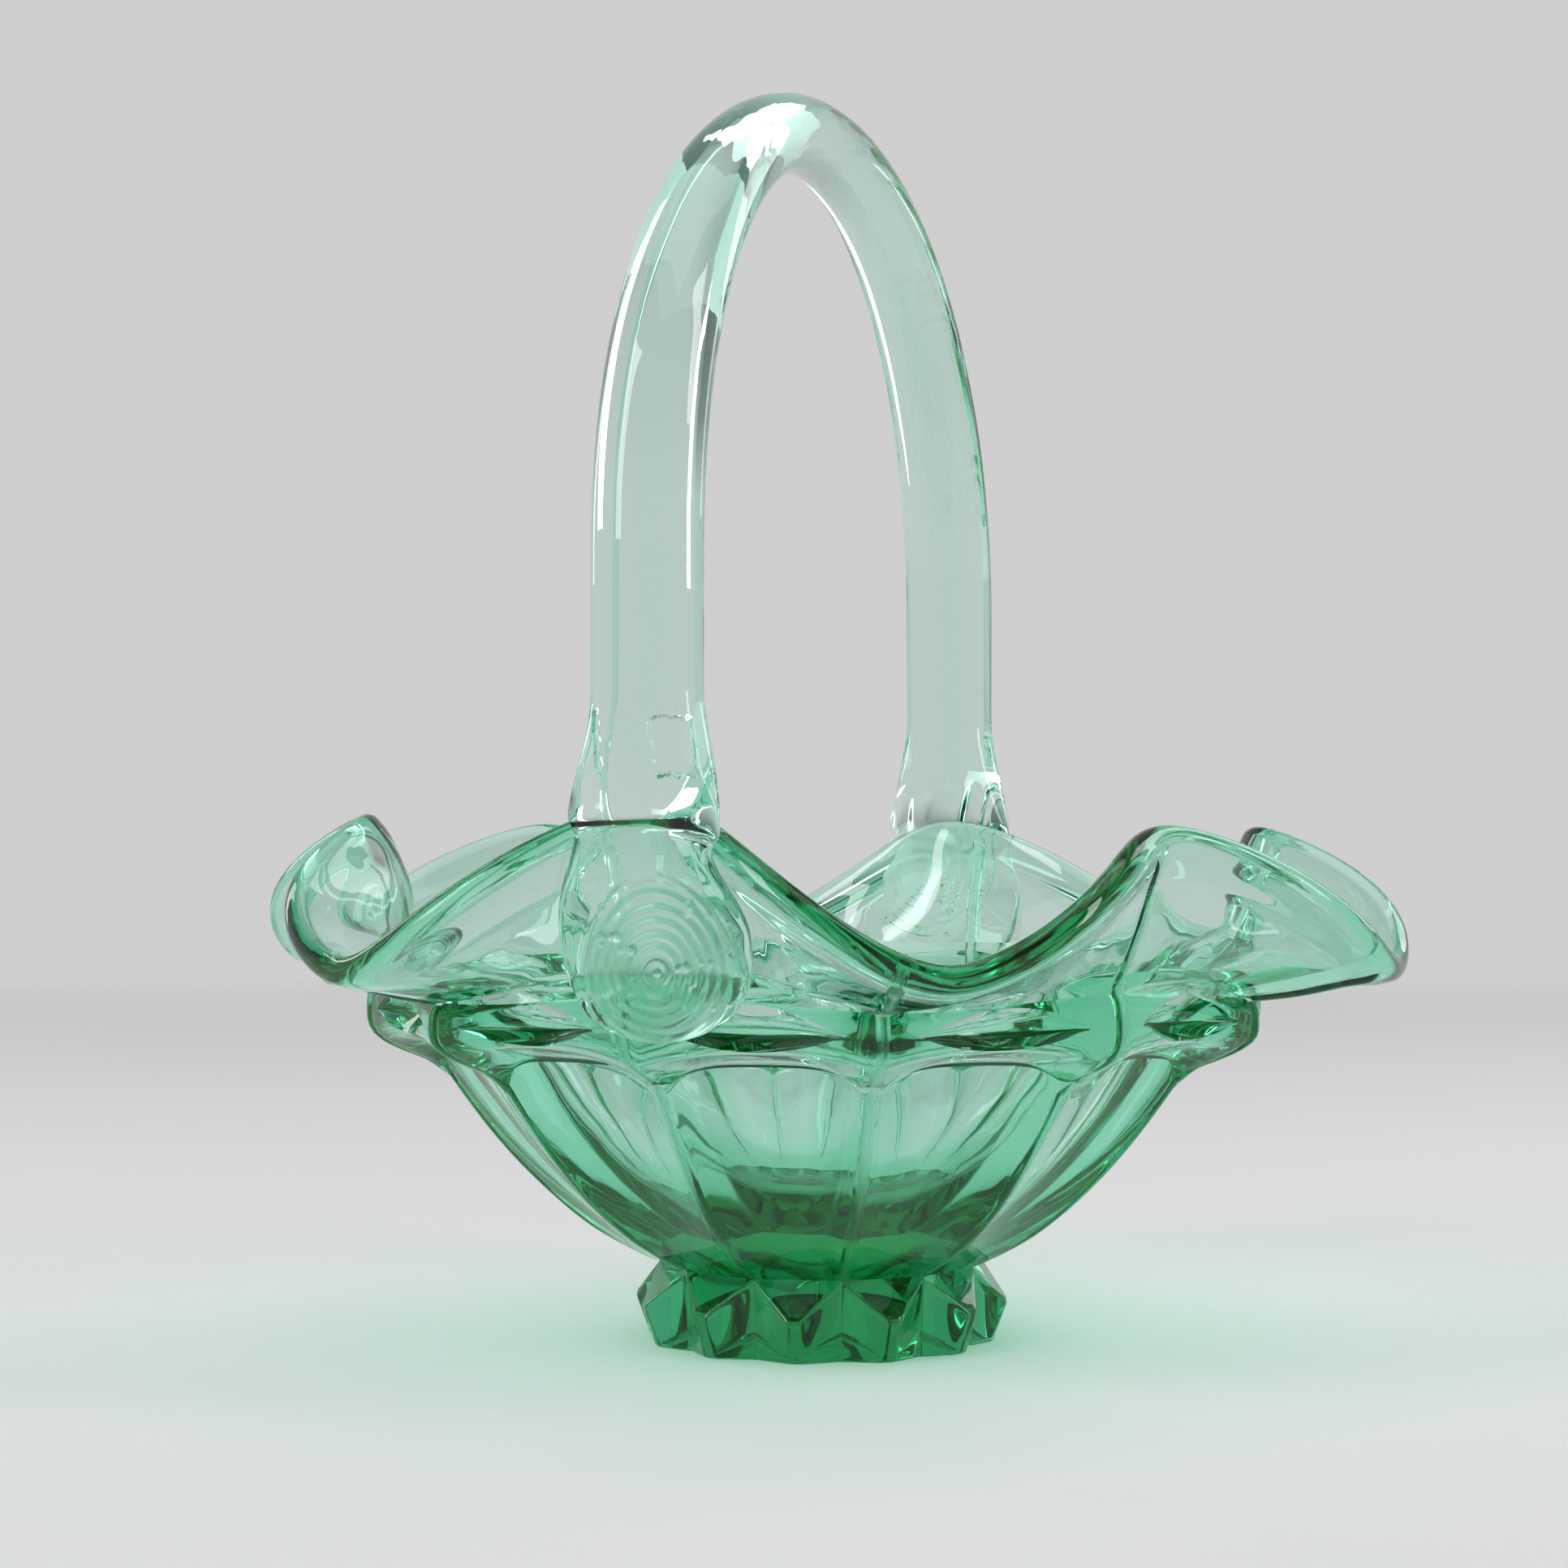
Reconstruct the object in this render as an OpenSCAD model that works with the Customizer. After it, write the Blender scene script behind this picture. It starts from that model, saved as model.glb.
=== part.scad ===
// A pressed glass basket: a twelve-panel bowl on a pointed foot, its rim pinched into
// six crests and six dips, with a hoop handle of clear glass drawn over the top and
// stamped flat onto the outside of the wall at both ends.
// All lengths are in millimetres. The handle lies in the plane y = 0, the bowl stands
// on z = 0, and every turn angle is measured from +X.

/* [Foot] */
// Height of the foot up to where the bowl starts
foot_height = 12.4; // [9:0.1:16]
// Height of the widest level, where the blunt points are
foot_tip_height = 6.6; // [4:0.1:8]
// Distance from the axis to the blunt points
foot_tip_radius = 29.9; // [28:0.1:33]
// Distance from the axis to the points at the table
foot_base_radius = 27.8; // [26.5:0.1:30]
// Distance from the axis to the valleys between the points
foot_valley_radius = 26; // [23:0.1:27]
// Radius of the shallow hollow under the foot
hollow_radius = 19; // [10:0.5:22]
// Depth of the shallow hollow under the foot
hollow_depth = 1.4; // [0.5:0.1:4]

/* [Body] */
// Number of panels round the bowl and points round the foot
panel_count = 12; // [8:1:16]
// Turn of the first ridge between two panels
panel_turn = -6; // [-15:0.5:15]
// Radius of the ridges where they reach the underside of the shoulder
body_radius = 58.4; // [54:0.2:62]
// Height of the ridges where they reach the underside of the shoulder
body_top = 42.6; // [38:0.2:45]
// Radius of the corner that the ridge curve bends towards
belly_radius = 43.5; // [38:0.5:46]
// Height of the corner that the ridge curve bends towards
belly_height = 20.5; // [18:0.5:26]
// Deepest scoop of a panel below the ridges
flute_depth = 3.2; // [1.5:0.1:4.5]
// Rise of the arched end of a scoop above its corners
flute_arch = 6; // [3:0.1:6.4]

/* [Shoulder] */
// Radius of the ridges on the shoulder
shoulder_radius = 71; // [68:0.2:73]
// Height of the lower edge of the shoulder
shoulder_bottom = 47.8; // [46.8:0.1:49]
// How much higher that edge is in the middle of a panel
shoulder_lift = 1.6; // [0.8:0.1:2]
// Height of the upper edge of the shoulder, halfway between a crest and a dip
shoulder_top = 56.4; // [55:0.1:58]
// How far that edge rises below a crest and falls below a dip
shoulder_sway = 1.1; // [0:0.1:1.4]
// Depth of a panel's flat below the ridges of the shoulder
shoulder_flat = 2.3; // [1:0.1:3]
// Length of the eye-shaped dimples as a share of the panel
dimple_share = 0.7; // [0.6:0.01:0.85]
// Height of the dimples as a share of the shoulder's flat
dimple_rise = 0.9; // [0.5:0.01:0.94]
// Depth of the dimples at the middle
dimple_depth = 3; // [0.5:0.1:4]

/* [Rim] */
// Number of crests pinched into the rim
crimp_count = 6; // [4:1:8]
// Turn of the first crest
crimp_turn = -2; // [-8:0.5:8]
// Height of the middle of the lip at a crest
crest_height = 80; // [76:0.2:86]
// Height of the middle of the lip at a dip
dip_height = 60; // [58:0.2:68]
// Radius of the middle of the lip at a crest
crest_radius = 72.8; // [71:0.2:77]
// Radius of the middle of the lip at a dip
dip_radius = 89.2; // [84:0.2:94]
// How far the flare sags under a dip, between the shoulder and the lip
dip_sag = 0.8; // [0:0.1:2]
// Thickness of the flared wall
wall = 3.4; // [2.8:0.1:4]
// Thickness of the rounded lip
lip = 4.4; // [4:0.1:5.4]
// Depth of the panels below the ridges on the flare
flare_flute = 0.9; // [0:0.1:1.2]

/* [Inside] */
// Height of the floor of the bowl
floor_height = 17.6; // [16:0.2:20]
// Thickness of the side between the inside and the ridges under the shoulder
side_wall = 3.2; // [2.6:0.1:5]

/* [Handle] */
// Height of the top of the handle
handle_top = 196.4; // [180:0.2:210]
// Height at which the straight legs turn into the arch
spring_height = 120; // [110:1:130]
// Thickness of the legs from the inside of the hoop to its outside
leg_depth = 13.6; // [12:0.1:16]
// Width of the legs across the hoop
leg_width = 15.8; // [14:0.1:18]
// Thickness of the handle at its top
top_depth = 12.4; // [10:0.1:14]
// Width of the handle at its top
top_width = 12.9; // [11:0.1:16]
// Width of the stamped ends
pad_width = 29.2; // [24:0.2:30]
// Height of the middle of the stamped ends
pad_height = 63; // [61.5:0.1:64]
// Distance from the middle of a stamped end to its lowest point
pad_drop = 11.8; // [9:0.1:12.4]
// Thickness of the glass at the middle of a stamped end
pad_depth = 6.2; // [4:0.1:9]
// Thickness of the glass at the edge of a stamped end
pad_edge = 2.6; // [1.5:0.1:4]
// Width of the handle where it crosses the lip
collar_width = 21.2; // [18:0.2:22]
// How far the stamped end at +X sits to one side of the hoop
pad_shift = 1.3; // [0:0.1:2.4]
// How far the stamped end at -X sits to the other side
far_shift = 0.4; // [0:0.1:2.4]
// Distance from the middle of the lip to the inside face of a leg
leg_offset = 1; // [0:0.1:2]
// Clearance between the handle and the wall that it is fused to
seat_gap = 0.3; // [0.3:0.05:0.5]

/* [Hidden] */

bowl_colour = [0.10, 0.62, 0.36, 0.6];
handle_colour = [0.78, 0.93, 0.86, 0.5];

panel_pitch = 360 / panel_count;
crimp_pitch = 360 / crimp_count;
// Where the columns of the grid stand in a panel. The two in the middle are the
// corners of a blunt point of the foot.
panel_cuts = [0, 0.14, 0.28, 0.43, 0.57, 0.72, 0.86];
columns = [for (p = [0 : panel_count - 1], c = panel_cuts) panel_turn + (p + c) * panel_pitch];

// Hand trims of the six crests and six dips: each was pinched by eye
crest_lift = [2.6, -0.8, -1, 0, -0.5, 1];
dip_lift = [0.6, 0, -0.5, 0.6, 0, 0.6];
dip_spread = [0, 1, 0, 0, 1, 0];
crest_spread = [-0.8, 2.5, 0, 0, 1, -1];
crest_push = [1, -1, 1, 1, 1, 3.5];

// Foot: bevel at the table, step under the bowl, half width of a blunt point as a share
// of a panel, and how far the valleys lean in towards the table
foot_bevel = 0.8;
foot_step = 0.3;
foot_tip_share = 0.07;
valley_lean = 0.6;

// Body: share of the scoop's depth at the foot, the part of a sine wave that its depth
// follows up the panel, and the drop of its corners below the top of the ridges
scoop_start = 0.3;
scoop_wave = 130;
corner_drop = 1;

// Underside of the shoulder, in the middle of a panel and on a ridge: step out from the
// ridges, rise from the end of the scoop, and drop of the curve below the edge
under_step = [2, 3.2];
under_rise = [0.6, 2.2];
under_drop = [0.2, 1.4];
under_tuck = 2;

// Shoulder: how far its lower and upper edges are rounded off, its inset up to the middle
// of the flared wall, and half the height of a dimple beyond its tips
round_below = 2.2;
round_above = 1.1;
neck_inset = 2.8;
smallest_eye = 0.35;
neck_radius = shoulder_radius - neck_inset;

// Rim: how sharply the lip is pulled in at a crest, how round it is at a dip, and where
// on the flare the wall starts to thicken into the lip
crest_pull = 2.1;
dip_round = 0.86;
lip_start = 0.7;
lip_blend = 0.25;
flute_fade = 0.5;
// The turns of the grid round the lip, and the steps along and round the flare over which
// its direction is measured
lip_turns = [0, 40, 75, 105, 140, 180];
step_up = 0.02;
step_round = 1;

// Inside: where on the flare it starts, and the corners that its curve bends towards, as
// shares of its radius and height
inside_start = 0.06;
inside_radius = body_radius - side_wall;
floor_share = 0.66;
side_share = 0.84;
side_rise = 0.55;
neck_drop = 5;

function lerp(a, b, t) = a + (b - a) * t;
function clamp(t) = max(0, min(1, t));
function smooth(t) = clamp(t) * clamp(t) * (3 - 2 * clamp(t));
function unit(v) = v / norm(v);
function bend(a, b, c, t) = (1 - t) * (1 - t) * a + 2 * t * (1 - t) * b + t * t * c;
function turned(r, angle, z) = [r * cos(angle), r * sin(angle), z];

// 1 on a ridge, 0 in the middle of a panel
function off_middle(angle) =
    let (p = (angle - panel_turn) / panel_pitch) abs(2 * (p - floor(p)) - 1);

// Foot

// Distance to the star outline of the foot at a share of the way from point to valley
function star(tip, valley, v) =
    let (
        half = panel_pitch / 2,
        t = turned(tip, 0, 0) + [0, tip * sin(foot_tip_share * panel_pitch), 0],
        edge = turned(valley, half, 0) - t,
        dir = turned(1, half * v, 0)
    )
    min(tip / cos(half * v), cross([t[0], t[1]], [edge[0], edge[1]])
        / cross([dir[0], dir[1]], [edge[0], edge[1]]));

function foot_valley_flat() = foot_valley_radius * cos(panel_pitch / 2);

// The crease between the side of a point and the sloping triangle on top of it
function foot_crease(v) =
    let (
        r = star(foot_tip_radius, foot_valley_radius, v),
        x = r * cos(panel_pitch / 2 * v),
        slope = (foot_height - foot_step - foot_tip_height) / (foot_tip_radius - foot_valley_flat())
    )
    [r, foot_tip_height + (foot_tip_radius - x) * slope];

function foot_point(angle, level) =
    let (
        v = off_middle(angle),
        base = star(foot_base_radius, foot_valley_radius - valley_lean, v)
    )
    level == 0 ? [hollow_radius - hollow_depth, hollow_depth] :
    level == 1 ? [hollow_radius, 0] :
    level == 2 ? [base - foot_bevel, 0] :
    level == 3 ? [base, foot_bevel] :
    level == 4 ? foot_crease(v) :
    [(foot_valley_flat() - foot_step) / cos(panel_pitch / 2 * v), foot_height];

// Body

// Radius of a ridge at a height
function ridge_radius(z) =
    let (
        a = foot_height - 2 * belly_height + body_top,
        b = 2 * (belly_height - foot_height),
        c = foot_height - z,
        t = (sqrt(b * b - 4 * a * c) - b) / (2 * a)
    )
    bend(foot_valley_radius, belly_radius, body_radius, t);

function flute_end(v) = body_top - corner_drop + flute_arch * (1 - pow(v, 4));

function body_point(angle, t) =
    let (
        v = off_middle(angle),
        z = lerp(foot_height, flute_end(v), t),
        depth = flute_depth * lerp(scoop_start, 1, sin(scoop_wave * t))
    )
    [ridge_radius(z) - depth * (1 - v * v), z];

// Shoulder

function pinch(angle) = (1 + cos(crimp_count * (angle - crimp_turn))) / 2;
function band_bottom(angle) = shoulder_bottom + shoulder_lift * (1 - pow(off_middle(angle), 2));
function band_top(angle) = shoulder_top + shoulder_sway * (2 * pinch(angle) - 1);

// Radius of the shoulder without its dimples
function band_radius(angle, z) =
    let (
        v = off_middle(angle),
        t = (z - band_bottom(angle)) / (band_top(angle) - band_bottom(angle)),
        round_off = (t < 0.5 ? round_below : round_above) * pow(abs(2 * t - 1), 3)
    )
    shoulder_radius - round_off - shoulder_flat * (1 - v * v);

function under_point(angle, t) =
    let (
        v = off_middle(angle),
        edge = [band_radius(angle, band_bottom(angle)), band_bottom(angle)],
        start = [
            body_radius + lerp(under_step[0], under_step[1], v),
            lerp(flute_end(v) + under_rise[0], body_top + under_rise[1], pow(v, 4))
        ],
        corner = [edge[0] - under_tuck, edge[1] - lerp(under_drop[0], under_drop[1], v * v)]
    )
    bend(start, corner, edge, t);

// Levels -1 and 1 are the lower and upper edge of the dimple, 0 is its middle
function dimple_point(angle, level) =
    let (
        low = band_bottom(angle),
        high = band_top(angle),
        eye = 1 - pow(off_middle(angle) / dimple_share, 2),
        z = (low + high) / 2 + level * max(dimple_rise * (high - low) / 2 * eye, smallest_eye),
        depth = dimple_depth * max(eye, 0) * (1 - level * level)
    )
    [band_radius(angle, z) - depth, z];

// Rim

// A trim list read at an angle, with smooth steps between its entries
function trim(list, angle, shift) =
    let (
        p = (angle - crimp_turn) / crimp_pitch + shift,
        i = floor(p),
        n = len(list),
        a = list[((i % n) + n) % n],
        b = list[(((i + 1) % n) + n) % n]
    )
    lerp(a, b, smooth(p - i));

// Middle of the lip, as radius and height
function rim_point(angle) =
    let (
        h = pinch(angle),
        crest_z = crest_height + trim(crest_lift, angle, 0),
        crest_r = crest_radius + trim(crest_spread, angle, 0),
        dip_z = dip_height + trim(dip_lift, angle, -0.5),
        dip_r = dip_radius + trim(dip_spread, angle, -0.5)
    )
    [lerp(dip_r, crest_r, pow(h, crest_pull)), lerp(dip_z, crest_z, pow(h, dip_round))];

// Middle of the flared wall, 0 at the neck and 1 at the lip
function flare_middle(angle, s) =
    let (
        rim = rim_point(angle),
        neck = [neck_radius, band_top(angle) + wall / 2],
        chord = unit(rim - neck),
        bow = lerp(dip_sag, -trim(crest_push, angle, 0), pinch(angle)),
        p = lerp(neck, rim, s) + bow * 4 * s * (1 - s) * [chord[1], -chord[0]]
    )
    turned(p[0], angle, p[1]);

function flare_up(angle, s) =
    unit(flare_middle(angle, s + step_up) - flare_middle(angle, s - step_up));
function flare_round(angle, s) =
    flare_middle(angle + step_round, s) - flare_middle(angle - step_round, s);
function flare_out(angle, s) = unit(cross(flare_round(angle, s), flare_up(angle, s)));

function half_wall(s) = lerp(wall, lip, smooth((s - lip_start) / lip_blend)) / 2;

function flare_outer(angle, s, gap = 0) =
    let (
        v = off_middle(angle),
        flute = flare_flute * (1 - v * v) * smooth((1 - s) / flute_fade)
    )
    flare_middle(angle, s) + (half_wall(s) - flute + gap) * flare_out(angle, s);

function flare_inner(angle, s) = flare_middle(angle, s) - half_wall(s) * flare_out(angle, s);

// Round the lip: 0 faces out, 90 is its edge, 180 faces in
function lip_point(angle, round, gap = 0) =
    flare_middle(angle, 1)
        + (lip / 2 + gap) * (cos(round) * flare_out(angle, 1) + sin(round) * flare_up(angle, 1));

// Inside

function inside_point(angle, t) =
    let (
        top = flare_inner(angle, inside_start),
        top_r = norm([top[0], top[1]]),
        bottom = [inside_radius, shoulder_bottom]
    )
    t >= 1
        ? bend(bottom, [(inside_radius + top_r) / 2, top[2] - neck_drop], [top_r, top[2]], t - 1)
        : let (
            low = [inside_radius * floor_share, floor_height],
            high = [inside_radius * side_share, lerp(floor_height, shoulder_bottom, side_rise)]
        )
        pow(1 - t, 3) * [0, floor_height] + 3 * t * pow(1 - t, 2) * low
            + 3 * t * t * (1 - t) * high + t * t * t * bottom;

// One ring of the bowl's grid
function ring(kind, level) = [
    for (angle = columns)
        kind == "flare" ? flare_outer(angle, level) :
        kind == "lip" ? lip_point(angle, level) :
        kind == "lining" ? flare_inner(angle, level) :
        let (
            p = kind == "foot" ? foot_point(angle, level) :
                kind == "body" ? body_point(angle, level) :
                kind == "under" ? under_point(angle, level) :
                kind == "dimple" ? dimple_point(angle, level) :
                kind == "edge" ? [band_radius(angle, band_top(angle)), band_top(angle)] :
                inside_point(angle, level)
        )
        turned(p[0], angle, p[1])
];

bowl_rings = [
    each [for (k = [0 : 5]) ring("foot", k)],
    each [for (t = [0.07, 0.17, 0.28, 0.4, 0.52, 0.64, 0.76, 0.88, 1]) ring("body", t)],
    each [for (t = [0, 0.5, 1]) ring("under", t)],
    each [for (level = [-1, -0.6, 0, 0.6, 1]) ring("dimple", level)],
    ring("edge", 1),
    each [for (s = [0.1, 0.22, 0.36, 0.5, 0.64, 0.78, 0.9]) ring("flare", s)],
    each [for (a = lip_turns) ring("lip", a)],
    each [for (s = [0.9, 0.75, 0.6, 0.45, 0.3, 0.18, inside_start]) ring("lining", s)],
    each [for (t = [1.6, 1.2, 1, 0.88, 0.76, 0.64, 0.52, 0.4, 0.28, 0.16]) ring("inside", t)]
];

// A skin over a stack of closed rings, with a middle point at each end
module skin(rings, first, last) {
    n = len(rings[0]);
    m = len(rings);
    points = [each for (r = rings) r, first, last];
    sides = [
        for (i = [0 : m - 2], j = [0 : n - 1])
            let (k = (j + 1) % n, a = i * n + j, b = i * n + k, c = a + n, d = b + n)
            each [[a, c, b], [b, c, d]]
    ];
    ends = [
        for (j = [0 : n - 1])
            let (k = (j + 1) % n)
            each [[m * n, j, k], [m * n + 1, (m - 1) * n + k, (m - 1) * n + j]]
    ];
    polyhedron(points = points, faces = concat(sides, ends), convexity = 10);
}

module bowl() {
    color(bowl_colour) skin(bowl_rings, [0, 0, hollow_depth], [0, 0, floor_height]);
}

// Handle

handle_cuts = 26;
leg_middle = crest_radius + leg_offset + leg_depth / 2;
leg_front = leg_middle + leg_depth / 2;
arch_rise = handle_top - top_depth / 2 - spring_height;
pad_bottom = pad_height - pad_drop;
collar_height = crest_height + lip / 2;

// Heights above the collar: where the leg is clear of the lip, where the sideways shift of
// the stamped end starts, and where the leg has its full shape
leg_clear = 9;
shift_rise = 6;
taper_rise = 18;
taper_height = collar_height + taper_rise;

// Stamped end: width of its lowest tip, height over which it shifts to one side, height and
// depth of its rounded lower lip, and how square its section is, from 0.4 up to 1 on the leg
tip_width = 2.4;
shift_height = 20;
toe_height = 5;
toe_depth = 2.4;
pad_square = 0.4;
// Front of a stamped end: the level of the wall that it is measured from, the height above
// the middle at which it starts to lean out, and the share of the rest over which it does
front_level = 0.25;
lean_start = 3;
lean_share = 0.7;

// The last of the lip's turns that the handle follows, and where it is between that and
// the leg on its way in
lip_end = 75;
leave_steps = [0.3, 0.6];

// How long the hoop keeps the section of the legs before it narrows to the top
arch_ease = 1.4;
arch_steps = 34;

// Half the width of a stamped end and the leg above it, by height
function half_width(z) =
    let (
        low = clamp((pad_height - z) / pad_drop),
        disc = pad_width / 2 * sqrt(1 - low * low),
        narrowing = smooth((z - pad_height - lean_start) / (collar_height - pad_height - lean_start)),
        waist = lerp(pad_width, collar_width, narrowing) / 2,
        leg = lerp(collar_width, leg_width, smooth((z - collar_height) / taper_rise)) / 2
    )
    z < pad_height ? max(disc, tip_width / 2) : z < collar_height ? waist : leg;

// The wall behind the handle: level -1 is low on the shoulder, 0 its upper edge, 1 the lip
function seat(angle, level) =
    level > 0 ? flare_outer(angle, level, seat_gap) :
    let (z = lerp(band_top(angle), pad_bottom, -level))
    turned(band_radius(angle, z) + seat_gap, angle, z);

// The same wall by distance y from the middle plane, seen from the leg's own side
function back_point(side, kind, level, y) =
    kind == "leg" ? [leg_middle - leg_depth / 2, y, level] :
    let (
        far = side < 0 ? 180 : 0,
        angle = far + asin(y / (shoulder_radius + wall)),
        p = kind == "seat" ? seat(angle, level) : lip_point(angle, level, seat_gap)
    )
    [side * p[0], side * p[1], p[2]];

function pad_front(z) =
    let (
        wall_x = seat(0, front_level)[0],
        rise = (z - pad_height - lean_start) / (lean_share * (taper_height - pad_height))
    )
    lerp(wall_x + pad_depth, leg_front, smooth(rise))
        - toe_depth * pow(1 - clamp((z - pad_bottom) / toe_height), 2);

// Each stamped end sits a little to the left of the hoop, seen from its own side
function sideways(side, z) =
    -(side < 0 ? far_shift : pad_shift) * smooth((collar_height + shift_rise - z) / shift_height);

// Distance from the middle plane to one edge of a section, found on the wall itself
function edge_y(side, kind, level, way, tries = 3) =
    let (
        y = tries == 0 ? 0 : edge_y(side, kind, level, way, tries - 1),
        z = back_point(side, kind, level, y)[2]
    )
    sideways(side, z) + way * half_width(z);

// A section through a stamped end, which lies on the wall, or through a leg above it
function leg_ring(side, kind, level) =
    let (
        left = edge_y(side, kind, level, -1),
        right = edge_y(side, kind, level, 1),
        z_middle = back_point(side, kind, level, (left + right) / 2)[2],
        square = lerp(pad_square, 1, smooth((z_middle - pad_height) / (taper_height - pad_height)))
    )
    [
        for (i = [0 : handle_cuts - 1])
            let (
                a = side * i * 360 / handle_cuts,
                y = lerp(left, right, (1 + sin(a)) / 2),
                share = (1 + sign(cos(a)) * pow(abs(cos(a)), square)) / 2,
                back = back_point(side, kind, level, y),
                front = max(pad_front(back[2]), back[0] + pad_edge),
                x = lerp(back[0], front, share)
            )
            [side * x, side * back[1], back[2]]
    ];

function leg_rings(side) = [
    each [for (level = [-1, -0.8, -0.55, -0.3, 0]) leg_ring(side, "seat", level)],
    each [for (level = [0.1, 0.22, 0.36, 0.5, 0.64, 0.78, 0.9]) leg_ring(side, "seat", level)],
    each [for (round = lip_turns) if (round <= lip_end) leg_ring(side, "lip", round)],
    each [
        for (t = leave_steps)
            lerp(leg_ring(side, "lip", lip_end), leg_ring(side, "leg", collar_height + leg_clear), t)
    ],
    each [
        for (z = [collar_height + leg_clear, taper_height, (taper_height + spring_height) / 2])
            leg_ring(side, "leg", z)
    ]
];

// A section through the arch: 0 at the front leg, 90 at the top, 180 at the back leg
function arch_ring(turn) =
    let (
        centre = [leg_middle * cos(turn), 0, spring_height + arch_rise * sin(turn)],
        along = unit([-leg_middle * sin(turn), 0, arch_rise * cos(turn)]),
        outward = [along[2], 0, -along[0]],
        low = pow(abs(cos(turn)), arch_ease),
        depth = lerp(top_depth, leg_depth, low),
        width = lerp(top_width, leg_width, low)
    )
    [
        for (i = [0 : handle_cuts - 1])
            let (a = i * 360 / handle_cuts)
            centre + depth / 2 * cos(a) * outward + [0, width / 2 * sin(a), 0]
    ];

function reversed(list) = [for (i = [len(list) - 1 : -1 : 0]) list[i]];
function average(list) = [for (v = list) 1] * list / len(list);

module handle() {
    front = leg_rings(1);
    back = reversed(leg_rings(-1));
    arch = [for (i = [0 : arch_steps]) arch_ring(180 * i / arch_steps)];
    color(handle_colour)
        skin(concat(front, arch, back), average(front[0]), average(back[len(back) - 1]));
}

bowl();
handle();
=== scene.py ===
"""A pressed glass basket in emerald glass, with a hoop handle of nearly clear glass.

The bowl is a profile spun round its axis, whose points are then moved out to the
panels, dimples, foot points and pinched rim. The handle is a ring drawn along a hoop,
with both ends pressed onto the wall and stamped with rings.
"""

import math
from functools import lru_cache

import bmesh
import bpy
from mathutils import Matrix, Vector, noise


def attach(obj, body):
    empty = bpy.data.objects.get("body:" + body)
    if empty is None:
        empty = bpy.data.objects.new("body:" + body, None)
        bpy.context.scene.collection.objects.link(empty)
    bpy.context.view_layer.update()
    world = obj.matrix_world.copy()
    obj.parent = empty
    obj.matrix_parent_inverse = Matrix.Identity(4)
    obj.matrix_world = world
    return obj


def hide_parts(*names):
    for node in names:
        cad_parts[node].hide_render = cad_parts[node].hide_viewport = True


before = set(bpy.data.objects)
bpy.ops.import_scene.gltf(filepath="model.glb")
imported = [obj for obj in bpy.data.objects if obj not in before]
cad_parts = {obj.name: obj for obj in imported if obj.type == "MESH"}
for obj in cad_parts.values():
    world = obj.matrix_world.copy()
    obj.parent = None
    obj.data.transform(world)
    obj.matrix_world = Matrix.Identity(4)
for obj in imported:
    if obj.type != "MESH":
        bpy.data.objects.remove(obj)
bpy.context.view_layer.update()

bl_info = {
    "name": "Glass basket",
    "version": (1, 0, 0),
    "blender": (4, 5, 0),
    "location": "3D View > Sidebar > Basket",
    "description": "Builds a pressed glass basket with a pinched rim and a hoop handle",
    "category": "Object",
}

MM = 0.001


def length(name, description, value):
    """A size in metres, whose default is written here in millimetres."""
    return bpy.props.FloatProperty(
        name=name, description=description, default=value * MM, unit="LENGTH", precision=5
    )


def share(name, description, value):
    """A part of something, from 0 to 1."""
    return bpy.props.FloatProperty(name=name, description=description, default=value, min=0, max=1)


def turn(name, description, value):
    """An angle, whose default is written here in degrees."""
    return bpy.props.FloatProperty(
        name=name, description=description, default=math.radians(value), subtype="ANGLE"
    )


def colour(name, description, value):
    return bpy.props.FloatVectorProperty(
        name=name, description=description, default=value, subtype="COLOR", min=0, max=1
    )


def strength(name, description, value):
    return bpy.props.FloatProperty(name=name, description=description, default=value, min=0)


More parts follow.
